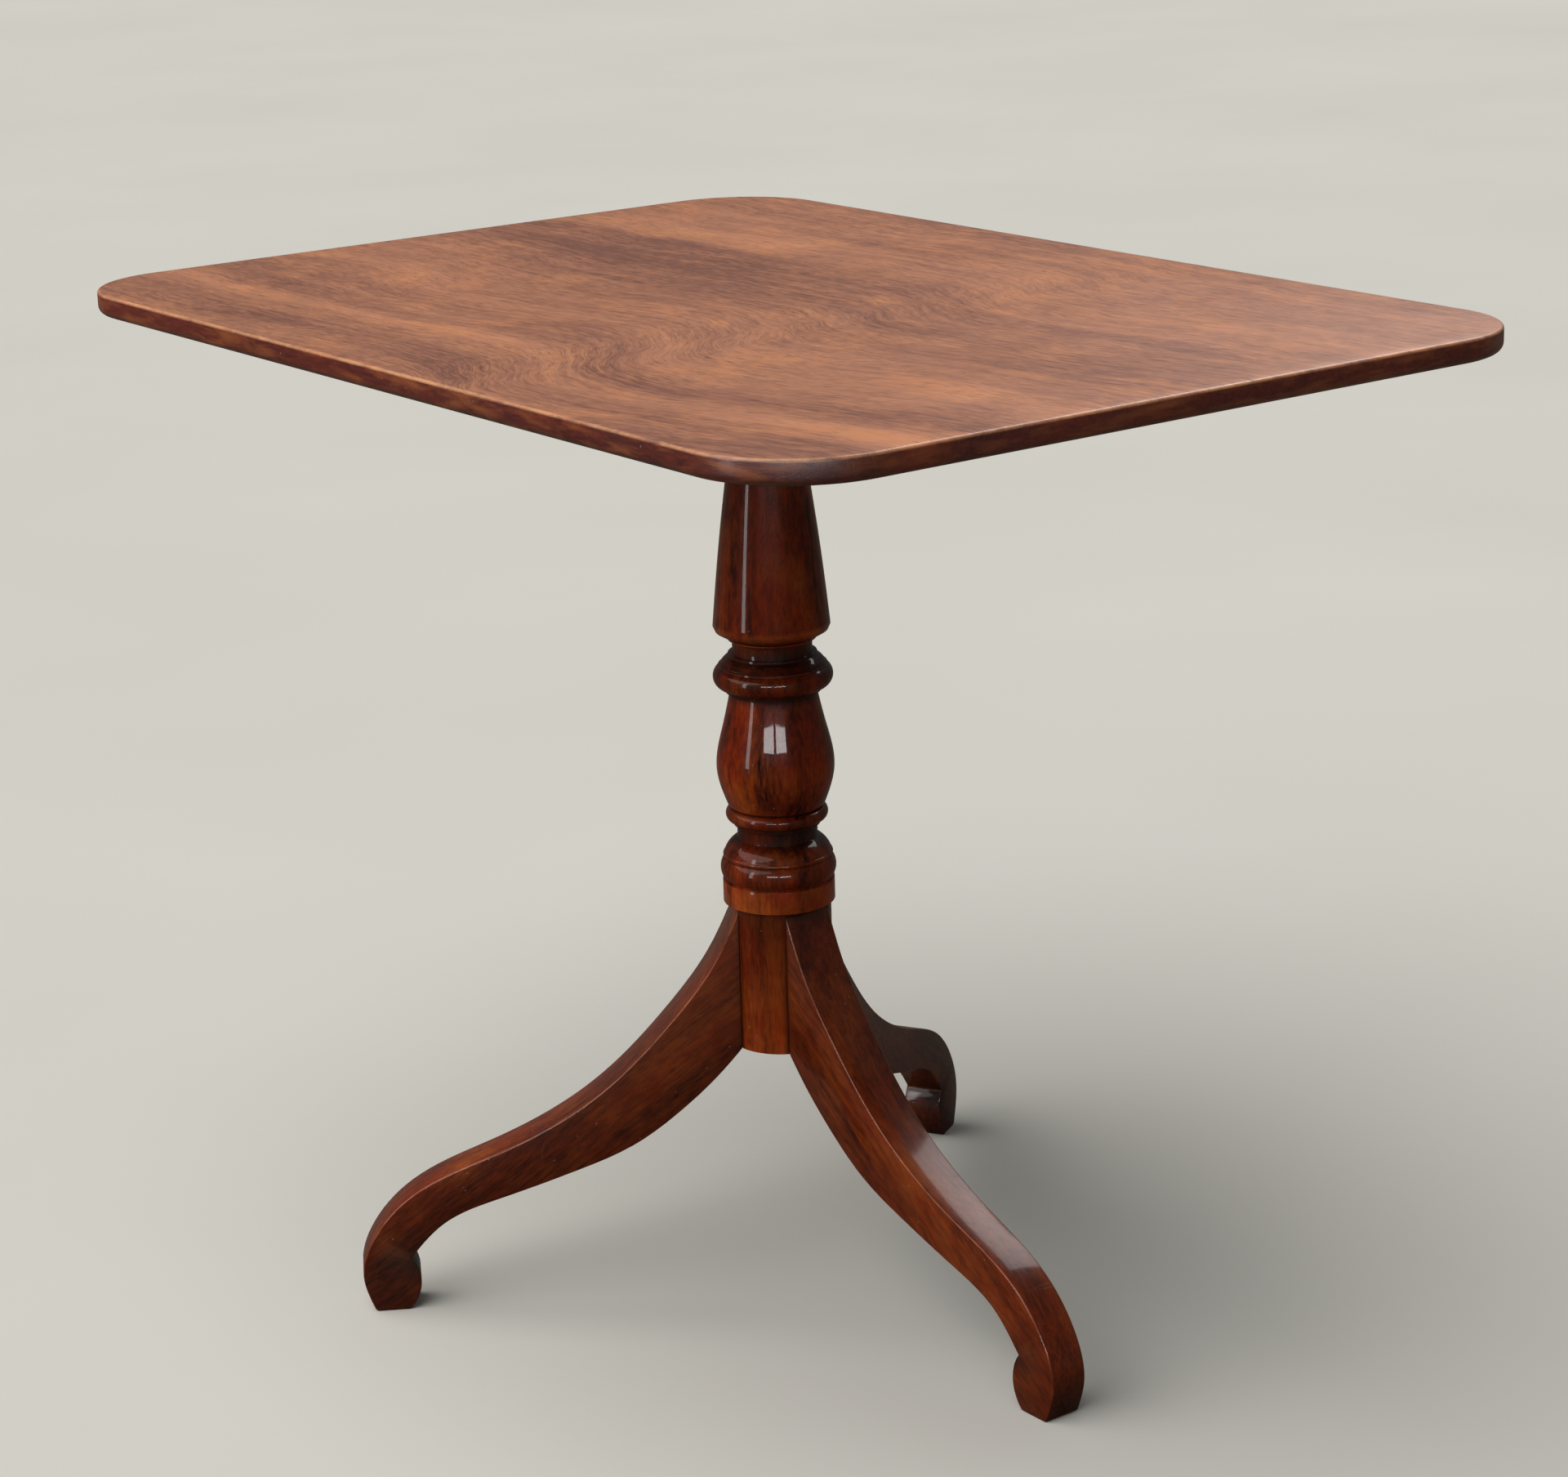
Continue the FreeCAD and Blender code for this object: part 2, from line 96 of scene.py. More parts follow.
def pick(piece, kind, test):
    """Picks what passes the test, which reads an element's middle and, for a face, its normal."""
    mesh = bmesh.from_edit_mesh(piece.data)
    group = {"VERT": mesh.verts, "EDGE": mesh.edges, "FACE": mesh.faces}[kind]
    for item in group:
        if kind == "VERT":
            chosen = test(item.co)
        elif kind == "EDGE":
            chosen = test(item.verts[0].co, item.verts[1].co)
        else:
            chosen = test(item.calc_center_median(), item.normal)
        if chosen:
            item.select_set(True)
    bmesh.update_edit_mesh(piece.data)


def settle(piece):
    """Leaves edit mode and puts the piece's place into its mesh."""
    choose(piece)
    bpy.ops.object.transform_apply(location=True, rotation=True, scale=True)


def soften(piece, width, segments=2, angle=30):
    """Rounds the sharp edges a little, as years of wiping do."""
    choose(piece)
    round_over = piece.modifiers.new("round over", "BEVEL")
    round_over.limit_method = "ANGLE"
    round_over.angle_limit = math.radians(angle)
    round_over.width = width
    round_over.segments = segments
    round_over.use_clamp_overlap = True
    bpy.ops.object.modifier_apply(modifier=round_over.name)


def smooth(piece, angle=32):
    choose(piece)
    bpy.ops.object.shade_smooth_by_angle(angle=math.radians(angle))


def report(piece):
    size = piece.dimensions
    faces = len(piece.data.polygons)
    print(f"{piece.name}: {size.x:.3f} x {size.y:.3f} x {size.z:.3f} m, {faces} faces")


# %% [markdown]
# ## Place on the piece
# Wood has a direction. A material that reads plain object coordinates would run the same way
# through every piece, but a leg is cut from its own plank. So each wooden piece stores its own
# place with the grain along Z, before it is turned into position, and the wood reads that.

# %% Store the grain's own coordinates
GRAIN = "grain_place"


def store_grain(piece, along):
    """Keeps each point's place with the grain along Z. Along names the axis it follows."""
    order = {"X": (1, 2, 0), "Y": (0, 2, 1), "Z": (0, 1, 2)}[along]
    places = piece.data.attributes.new(GRAIN, "FLOAT_VECTOR", "POINT")
    for point, place in zip(piece.data.vertices, places.data):
        place.vector = [point.co[axis] for axis in order]


# %% [markdown]
# ## The top
# The top is one board 840 mm long, 610 mm wide and 16 mm thick, with corners rounded to 74 mm. It
# starts as a cube, its upright edges are bevelled into the corners, and then the upper and lower
# rims are rounded. The lower rim is rounder than the upper one, which has kept a crisp arris. A grid
# of cuts keeps the faces small, so that the wear stored on the points of a rim fades out close to
# it.

# %% Top board
top_low, top_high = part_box("table_top")
corner_radius = 74 * MM
upper_round = 2.2 * MM
lower_round = 5.5 * MM
first_cut = 12 * MM
cut_gap = 14 * MM


def model_top():
    bpy.ops.mesh.primitive_cube_add(size=1, location=(top_low + top_high) / 2)
    top = named("top_board")
    bpy.ops.transform.resize(value=top_high - top_low)
    settle(top)
    edit(top, "EDGE")
    pick(top, "EDGE", lambda a, b: abs(a.z - b.z) > MM)
    bpy.ops.mesh.bevel(offset=corner_radius, segments=28, affect="EDGES")
    bpy.ops.mesh.select_all(action="DESELECT")
    pick(top, "EDGE", lambda a, b: min(a.z, b.z) > top_high.z - MM)
    bpy.ops.mesh.bevel(offset=upper_round, segments=4, affect="EDGES")
    bpy.ops.mesh.select_all(action="DESELECT")
    pick(top, "EDGE", lambda a, b: max(a.z, b.z) < top_low.z + MM)
    bpy.ops.mesh.bevel(offset=lower_round, segments=6, affect="EDGES")
    for axis in (0, 1):
        normal = [0, 0, 0]
        normal[axis] = 1
        for place in np.arange(top_low[axis] + first_cut, top_high[axis], cut_gap):
            where = [0, 0, 0]
            where[axis] = float(place)
            bpy.ops.mesh.select_all(action="SELECT")
            bpy.ops.mesh.bisect(plane_co=where, plane_no=normal)
    bpy.ops.object.mode_set(mode="OBJECT")
    return top


top_board = model_top()
smooth(top_board, 40)
store_grain(top_board, "Y")
report(top_board)

# %% [markdown]
# ## The column
# The column was turned on a lathe, so it is modelled the way the turner worked: a disc is
# extruded upwards one moulding at a time, and each new ring of points is scaled to the
# moulding's radius. The mouldings are written as a walk up the column. A step
# is a square shoulder, a bulge is an arc, and a sweep is a smooth curve through a few points.

# %% The outline of the column
column_foot = 181 * MM


def arc_points(start, middle, end, count):
    """Points of the circle through three places, after the start."""
    (ax, ay), (bx, by), (cx, cy) = start, middle, end
    d = 2 * (ax * (by - cy) + bx * (cy - ay) + cx * (ay - by))
    a2, b2, c2 = ax * ax + ay * ay, bx * bx + by * by, cx * cx + cy * cy
    ux = (a2 * (by - cy) + b2 * (cy - ay) + c2 * (ay - by)) / d
    uy = (a2 * (cx - bx) + b2 * (ax - cx) + c2 * (bx - ax)) / d
    radius = math.hypot(ax - ux, ay - uy)
    angles = np.unwrap([math.atan2(y - uy, x - ux) for x, y in (start, middle, end)])
    turns = np.linspace(angles[0], angles[2], count + 1)[1:]
    return [(ux + radius * math.cos(t), uy + radius * math.sin(t)) for t in turns]


def curve_points(places, counts):
    """Points of a smooth curve through the places. Counts says how many each stretch gets."""
    places = np.array(places, float)
    gaps = np.hypot(*np.diff(places, axis=0).T)
    slopes = np.diff(places, axis=0) / gaps[:, None]
    size = len(places)
    table = np.eye(size)
    right = np.zeros((size, 2))
    for i in range(1, size - 1):
        table[i, i - 1:i + 2] = gaps[i - 1], 2 * (gaps[i - 1] + gaps[i]), gaps[i]
        right[i] = 3 * (slopes[i] - slopes[i - 1])
    bend = np.linalg.solve(table, right)
    found = []
    for i, count in enumerate(counts):
        slope = slopes[i] - gaps[i] * (2 * bend[i] + bend[i + 1]) / 3
        cube = (bend[i + 1] - bend[i]) / (3 * gaps[i])
        for t in np.linspace(0, gaps[i], count + 1)[1:]:
            found.append(tuple(places[i] + slope * t + bend[i] * t ** 2 + cube * t ** 3))
    return found


class Turning:
    """A walk up the column that collects (radius, height) pairs in metres."""

    def __init__(self, radius, height):
        self.line = [(radius, height)]

    def at(self):
        return self.line[-1]

    def to(self, radius, rise=0.0):
        self.line.append((radius * MM, self.at()[1] + rise * MM))

    def bulge(self, middle, end, rise, count=10):
        start = self.at()
        half = (middle * MM, start[1] + rise * MM / 2)
        stop = (end * MM, start[1] + rise * MM)
        self.line += arc_points(start, half, stop, count)

    def sweep(self, places, counts):
        start = self.at()
        stops = [(radius * MM, start[1] + rise * MM) for radius, rise in places]
        self.line += curve_points([start] + stops, counts)


def column_line():
    walk = Turning(36 * MM, column_foot)
    walk.to(36, 103.5)
    walk.to(38.9)
    walk.to(38.9, 15.5)
    walk.to(37.9)
    walk.to(37.9, 1.5)
    walk.bulge(40.2, 37.9, 14.5, 14)
    walk.to(37.4)
    walk.to(37.4, 0.8)
    walk.bulge(38.2, 37.4, 3, 6)
    walk.to(37.3)
    walk.bulge(34.64, 27.8, 10.5, 14)
    walk.to(27.8, 9.7)
    walk.to(30.2)
    walk.to(30.2, 2.4)
    walk.bulge(35.5, 30.2, 10.2, 12)
    walk.to(31.6)
    walk.to(31.6, 1.6)
    walk.to(33.6)
    walk.sweep([(40.7, 26), (35.35, 57.13), (30, 80.8)], [9, 9, 7])
    walk.to(32.8)
    walk.to(32.8, 2.4)
    walk.bulge(41.3, 37.6, 15.6, 16)
    walk.to(37.6, 1)
    walk.to(37)
    walk.bulge(34.57, 30.6, 6.6, 9)
    walk.to(30.6, 1.6)
    walk.to(27.5)
    walk.to(27.5, 10)
    walk.to(30.4)
    walk.to(30.4, 1)
    walk.to(38.8, 5)
    walk.to(40.3, 3.4)
    walk.sweep([(35.5, 46.77), (24.2, 132.2)], [14, 18])
    walk.to(24.2, 1.6)
    walk.to(25.2)
    walk.bulge(27.6, 25.2, 7, 8)
    walk.bulge(27.54, 33, 21.6, 12)
    walk.to(33, 6)
    return walk.line


COLUMN_LINE = column_line()
print("the column's outline has", len(COLUMN_LINE), "points")

# %% [markdown]
# The walk is now lathed. One circle is extruded and scaled for each pair, and
# shoulders are extruded with no rise. The joint beside each leg is a real
# line on the old table, and later the column gets painted shade along it, from how near each point
# lies to a leg.

# %% Turn the column
LEG_ANGLES = {"leg_front": 270, "leg_right": 30, "leg_left": 150}
root_width = 37 * MM
base_top = column_foot + 103.5 * MM
column_sides = 144


def model_column():
    radius, height = COLUMN_LINE[0]
    bpy.ops.mesh.primitive_circle_add(vertices=column_sides, radius=radius,
                                      location=(0, 0, height), fill_type="NGON")
    column = named("turned_column")
    settle(column)
    edit(column, "VERT")
    bpy.ops.mesh.select_all(action="SELECT")
    for new_radius, new_height in COLUMN_LINE[1:]:
        rise = new_height - height
        bpy.ops.mesh.extrude_region_move(TRANSFORM_OT_translate={"value": (0, 0, rise)})
        scale = new_radius / radius
        bpy.ops.transform.resize(value=(scale, scale, 1), center_override=(0, 0, new_height))
        radius, height = new_radius, new_height
    bpy.ops.mesh.select_all(action="SELECT")
    bpy.ops.mesh.normals_make_consistent(inside=False)
    bpy.ops.object.mode_set(mode="OBJECT")
    return column


column = model_column()
soften(column, 0.35 * MM, 2, 40)
smooth(column, 40)
report(column)

# %% [markdown]
# ## The legs
# A leg is sawn from a plank, so its sides are flat and its top and bottom curves are what make
# it. It is built as a chain: a small plane at the column is extruded along the leg, and
# each new end is set to the two curves. The curves are the same few chosen
# points, as shares of the leg's reach and rise, that the fixed model uses.

# %% The two curves of a leg
leg_reach = 304 * MM
leg_rise = 282 * MM
toe_width = 28 * MM
column_radius = 36 * MM
shoulder = math.sqrt(column_radius ** 2 - (root_width / 2) ** 2)
heel_foot = 271 * MM
toe_foot = 297 * MM
toe_bevel = 1.6 * MM
leg_top_shares = [(0.164, 0.863), (0.263, 0.723), (0.434, 0.544), (0.674, 0.404),
                  (0.875, 0.307), (0.967, 0.204), (1.0, 0.096)]
leg_under_shares = [(0.887, 0.138), (0.806, 0.225), (0.674, 0.282), (0.493, 0.344),
                    (0.362, 0.401), (0.247, 0.487), (0.158, 0.574)]
heel_bulge_share = (0.867, 0.067)


def leg_place(share):
    return (leg_reach * share[0], leg_rise * share[1])


def leg_sections():
    """Pairs of an upper and an under place, from the column to the toe."""
    crown, root = (shoulder, leg_rise), (shoulder, column_foot)
    toe, heel = (toe_foot, toe_bevel), (heel_foot, toe_bevel)
    notch = leg_place(leg_under_shares[0])
    upper = curve_points([crown] + [leg_place(s) for s in leg_top_shares] + [toe],
                         [5, 7, 9, 10, 9, 7, 7, 7])
    under = curve_points([notch] + [leg_place(s) for s in leg_under_shares[1:]] + [root],
                         [7, 9, 6, 4, 9, 7, 5])
    scroll = arc_points(notch, leg_place(heel_bulge_share), heel, 14)
    return list(zip([crown] + upper, under[::-1] + [notch] + scroll))


sections = leg_sections()
print("a leg has", len(sections), "sections")

# %% [markdown]
# Each section stands across the leg like a slice of bread. The chain starts with an upright plane
# at the column. At every step the end face is moved, turned upright, scaled to the next slice and
# leaned to its angle. Afterwards the sides are drawn in towards the toe, as on the fixed model.

# %% Build a leg
def slice_of(pair):
    """The middle, height and lean of one slice."""
    (ux, uz), (lx, lz) = pair
    middle = Vector(((ux + lx) / 2, 0, (uz + lz) / 2))
    return middle, math.hypot(ux - lx, uz - lz), math.atan2(ux - lx, uz - lz)


def half_width(x):
    share = (x - shoulder) / (leg_reach - shoulder)
    return (root_width + (toe_width - root_width) * share) / 2


def model_leg():
    middle, height, lean = slice_of(sections[0])
    bpy.ops.mesh.primitive_plane_add(size=1, location=middle, rotation=(0, math.pi / 2, 0))
    leg = named("leg_blank")
    bpy.ops.transform.resize(value=(1, root_width, height))
    settle(leg)
    edit(leg, "FACE")
    bpy.ops.mesh.select_all(action="SELECT")
    for pair in sections[1:]:
        new_middle, new_height, new_lean = slice_of(pair)
        bpy.ops.mesh.extrude_region_move(TRANSFORM_OT_translate={"value": new_middle - middle})
        turn_end(lean, new_middle)
        growth = new_height / height
        bpy.ops.transform.resize(value=(1, 1, growth), center_override=new_middle)
        turn_end(-new_lean, new_middle)
        middle, height, lean = new_middle, new_height, new_lean
    bpy.ops.mesh.extrude_region_move(TRANSFORM_OT_translate={"value": (0, 0, -toe_bevel)})
    pad_share = (height - 2 * toe_bevel) / height
    bpy.ops.transform.resize(value=(pad_share, 1, 1), center_override=middle)
    bpy.ops.mesh.select_all(action="SELECT")
    bpy.ops.mesh.normals_make_consistent(inside=False)
    bpy.ops.object.mode_set(mode="OBJECT")
    for point in leg.data.vertices:
        point.co.y = math.copysign(half_width(point.co.x), point.co.y)
    return leg


def turn_end(angle, middle):
    bpy.ops.transform.rotate(value=angle, orient_axis="Y", center_override=middle)


leg_blank = model_leg()
soften(leg_blank, 1.1 * MM, 3, 28)
smooth(leg_blank, 34)
report(leg_blank)

# %% [markdown]
# ## Three legs from one
# The three legs are alike, so the finished blank is copied, each copy with its own mesh, and
# turned about the column. The grain of a leg slopes down towards the toe, because the plank is laid
# so that no part of the curve is short-grained. Each leg stores that slope, and its own stretch of
# wood.

# %% Copy the leg round the column
grain_slope = math.radians(36)
next_plank = Vector((0.3, 0.11, 0.7))


def place_legs():
    tilt = Matrix.Rotation(math.pi / 2 + grain_slope, 3, "Y").inverted()
    legs = []
    for number, (name, angle) in enumerate(LEG_ANGLES.items()):
        choose(leg_blank)
        bpy.ops.object.duplicate()
        leg = named(name.replace("leg", "curved_leg"))
        store_grain(leg, "Z")
        for place in leg.data.attributes[GRAIN].data:
            place.vector = tilt @ Vector(place.vector) + number * next_plank
        leg.rotation_euler.z = math.radians(angle)
        settle(leg)
        legs.append(leg)
        report(leg)
    bpy.data.objects.remove(leg_blank)
    return legs


legs = place_legs()

# %% [markdown]
# ## Beds for the legs
# Where a leg meets the column, the round shaft is planed to a flat. A block as wide as a leg is
# taken out of the column three times with the Boolean modifier. The legs' own rounded edges then
# leave the thin dark line that shows on the table at each joint.

# %% Plane the beds
bed_spare = 20 * MM


def plane_beds():
    for angle in LEG_ANGLES.values():
        size = Vector((bed_spare, root_width, base_top - column_foot + bed_spare))
        middle = Vector((shoulder + size.x / 2, 0, base_top - size.z / 2))
        bpy.ops.mesh.primitive_cube_add(size=1, location=middle)
        bed = named("bed")
        bpy.ops.transform.resize(value=size)
        settle(bed)
        bed.rotation_euler.z = math.radians(angle)
        settle(bed)
        choose(column)
        cut = column.modifiers.new("bed", "BOOLEAN")
        cut.operation = "DIFFERENCE"
        cut.solver = "EXACT"
        cut.object = bed
        bpy.ops.object.modifier_apply(modifier=cut.name)
        bpy.data.objects.remove(bed)


plane_beds()
report(column)

# %% [markdown]
# ## The catch spring
# The sliding catch under the top is pushed shut by a small coil spring. A spring that can't
# shorten would cut through the bolt when the catch is drawn back. It is modelled anew here. A ring
# as thick as the wire is wound round an axis by the Screw modifier.

# %% Wind the spring
spring_wire = 0.9 * MM
spring_coil = 3.4 * MM
spring_turns = 6


def close_ends(piece):
    """Fills each open loop of edges with a face."""
    edit(piece, "EDGE")
    mesh = bmesh.from_edit_mesh(piece.data)
    bmesh.ops.holes_fill(mesh, edges=[edge for edge in mesh.edges if edge.is_boundary], sides=0)
    bmesh.update_edit_mesh(piece.data)


def model_spring():
    low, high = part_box("catch_spring")
    length = high.y - low.y
    bpy.ops.object.select_all(action="DESELECT")
    bpy.ops.mesh.primitive_circle_add(vertices=10, radius=spring_wire / 2,
                                      location=(spring_coil, 0, 0), rotation=(math.pi / 2, 0, 0))
    spring = named("coiled_spring")
    settle(spring)
    winding = spring.modifiers.new("winding", "SCREW")
    winding.axis = "Z"
    winding.steps = winding.render_steps = 24
    winding.iterations = spring_turns
    winding.screw_offset = (length - spring_wire) / spring_turns
    bpy.ops.object.modifier_apply(modifier=winding.name)
    close_ends(spring)
    bpy.ops.mesh.select_all(action="SELECT")
    bpy.ops.mesh.normals_make_consistent(inside=False)
    bpy.ops.object.mode_set(mode="OBJECT")
    middle = (low + high) / 2
    spring.rotation_euler.x = -math.pi / 2
    spring.location = (middle.x, low.y + spring_wire / 2, middle.z)
    settle(spring)
    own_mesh(spring)
    return spring


spring = model_spring()
smooth(spring, 60)
report(spring)

# %% [markdown]
# ## Wear on the edges and painted shade in the hollows
# Polish wears thin on every arris, and the hollows and joints get painted shade. A material can't
# tell where those are, so each piece measures itself. A point's "worn" value is how sharply the
# surface turns outwards there, and its "painted_shade" value is how deep it lies below its
# neighbours.

# %% Measure edges and hollows
def keep_value(piece, name, values):
    layer = piece.data.attributes.new(name, "FLOAT", "POINT")
    layer.data.foreach_set("value", [min(1.0, max(0.0, value)) for value in values])


def store_worn(piece, first=14, last=28):
    """Worn rises from 0 to 1 as the turn at an outward edge goes from first to last degrees."""
    mesh = bmesh.new()
    mesh.from_mesh(piece.data)
    values = []
    for point in mesh.verts:
        turns = [edge.calc_face_angle_signed(0) for edge in point.link_edges
                 if len(edge.link_faces) == 2]
        values.append((math.degrees(max(turns, default=0)) - first) / (last - first))
    mesh.free()
    keep_value(piece, "worn", values)


# The painted shade value, from 0 to 1, darkens a point's colour.
def store_painted_shade(piece, depth_of):
    keep_value(piece, "painted_shade", [depth_of(point.co) for point in piece.data.vertices])


SHADED_MOULDINGS = [(301, 354), (435, 467)]  # heights in mm of the mouldings darkened with painted shade
MOULDING_SHADE = 0.5


def column_shade(place, reach=5 * MM, full=4 * MM):
    """Painted shade on the column: how far a point lies inside the widest moulding close above or
    below it, at least a set amount over the shaded mouldings, and along the legs' joints.
    """
    near = [radius for radius, height in COLUMN_LINE if abs(height - place.z) < reach]
    depth = (max(near, default=0) - math.hypot(place.x, place.y)) / full
    if any(low * MM < place.z < high * MM for low, high in SHADED_MOULDINGS):
        depth = max(depth, MOULDING_SHADE)
    return max(depth, joint_shade(place)) if place.z < base_top else depth


def joint_shade(place, reach=3 * MM):
    """Painted shade in the crease along both sides of each leg."""
    nearest = 1.0
    for angle in LEG_ANGLES.values():
        turn = math.radians(angle)
        if place.x * math.cos(turn) + place.y * math.sin(turn) > 0:
            across = abs(place.y * math.cos(turn) - place.x * math.sin(turn))
            nearest = min(nearest, abs(across - root_width / 2))
    return 1 - nearest / reach


root_reach = 9 * MM
scroll_middle = (leg_reach * 0.885, leg_rise * 0.12)
scroll_reach = 24 * MM
toe_dark_start = leg_reach * 0.8
toe_dark_height = 60 * MM
toe_dark_depth = 0.55


def leg_shade(place):
    """Painted shade beside the column and under the scroll, and the toe darker towards the floor."""
    out = math.hypot(place.x, place.y)
    root = 1 - (out - shoulder) / root_reach
    scroll = 1 - math.hypot(out - scroll_middle[0], place.z - scroll_middle[1]) / scroll_reach
    toe = toe_dark_depth * (1 - place.z / toe_dark_height) if out > toe_dark_start else 0
    return max(root, scroll, toe)


store_grain(column, "Z")
for piece in [top_board, column] + legs:
    store_worn(piece)
# The column and the legs get painted shade. The top gets none.
store_painted_shade(column, column_shade)
store_painted_shade(top_board, lambda place: 0.0)
for leg in legs:
    store_painted_shade(leg, leg_shade)
print("worn and grime kept on", 2 + len(legs), "pieces")

# %% [markdown]
# ## Helpers for materials
# A material is a small network of nodes. One function adds a node, sets the inputs that are plain
# numbers and links the ones that come from other nodes. Effects that several finishes share
# become node groups, with their own named inputs and outputs.

# %% Helpers: nodes, materials, groups
def feed(tree, socket, value):
    """Links the socket to another one, or sets it to a plain value."""
    if isinstance(value, bpy.types.NodeSocket):
        tree.links.new(value, socket)
    else:
        socket.default_value = value


def add(tree, kind, inputs=None, **settings):
    """Adds a node. Inputs that are sockets are linked, and the rest are set."""
    node = tree.nodes.new("ShaderNode" + kind)
    for name, value in settings.items():
        setattr(node, name, value)
    for name, value in (inputs or {}).items():
        feed(tree, node.inputs[name], value)
    return node


def maths(tree, operation, first, second=0.0, third=0.0, clamp=False):
    inputs = {0: first, 1: second, 2: third}
    return add(tree, "Math", inputs, operation=operation, use_clamp=clamp).outputs[0]


def vector(tree, operation, first, second):
    return add(tree, "VectorMath", {0: first, 1: second}, operation=operation).outputs[0]


def ranged(tree, value, low, high, new_low=0.0, new_high=1.0):
    """A value between low and high becomes one between new_low and new_high, and stays there."""
    inputs = {"Value": value, "From Min": low, "From Max": high, "To Min": new_low,
              "To Max": new_high}
    return add(tree, "MapRange", inputs).outputs["Result"]


def mixed(tree, share, first, second):
    """The first colour where share is 0, and the second where it is 1."""
    node = add(tree, "Mix", data_type="RGBA")
    wanted = (("Factor", "VALUE", share), ("A", "RGBA", first), ("B", "RGBA", second))
    for name, kind, value in wanted:
        feed(tree, next(s for s in node.inputs if s.name == name and s.type == kind), value)
    return next(s for s in node.outputs if s.type == "RGBA")


def noise(tree, place, scale, detail=2.0, roughness=0.5, stretch=None, output="Fac"):
    if stretch:
        place = vector(tree, "MULTIPLY", place, stretch)
    inputs = {"Vector": place, "Scale": scale, "Detail": detail, "Roughness": roughness}
    return add(tree, "TexNoise", inputs).outputs[output]


def object_place(tree):
    return add(tree, "TexCoord").outputs["Object"]


def bumped(tree, strength, distance, height):
    """The normal of a surface whose height varies."""
    inputs = {"Strength": strength, "Distance": distance, "Height": height}
    return add(tree, "Bump", inputs).outputs["Normal"]


def join(tree, sockets, values):
    """Links each value to the socket of its name."""
    for name, value in values.items():
        tree.links.new(value, sockets[name])


def group_of(name, inputs, outputs):
    """Starts a shared node group. Inputs and outputs map a name to its kind of socket."""
    group = bpy.data.node_groups.new(name, "ShaderNodeTree")
    for side, sockets in (("INPUT", inputs), ("OUTPUT", outputs)):
        for label, kind in sockets.items():
            group.interface.new_socket(label, in_out=side, socket_type="NodeSocket" + kind)
    given = group.nodes.new("NodeGroupInput").outputs
    return group, given, group.nodes.new("NodeGroupOutput").inputs


def use_group(tree, group, inputs):
    return add(tree, "Group", inputs, node_tree=group).outputs


def new_material(name, **sockets):
    """Starts a material and sets the shader's own sockets, named with _ for each space."""
    material = bpy.data.materials.new(name)
    material.use_nodes = True
    shader = material.node_tree.nodes["Principled BSDF"]
    for label, value in sockets.items():
        shader.inputs[label.replace("_", " ").replace("Ior", "IOR")].default_value = value
    return material, material.node_tree, shader


def read(tree, name):
    return add(tree, "Attribute", attribute_name=name, attribute_type="GEOMETRY").outputs


def colour(red, green, blue):
    """A colour as a picture program shows it, from 0 to 255, as light."""
    parts = [value / 255 for value in (red, green, blue)]
    return [v / 12.92 if v <= 0.04045 else ((v + 0.055) / 1.055) ** 2.4 for v in parts] + [1.0]


# %% [markdown]
# ## Mahogany
# All the wood is one kind, so its figure is one shared group. From the grain's own coordinates it
# draws slow bands, fine streaks and short dark pores, all stretched along the grain, and a soft
# mottle without a direction, which is what makes polished mahogany seem to glow.

# %% Shared group: mahogany figure
PORE_COLOUR = (0.012, 0.003, 0.001, 1)


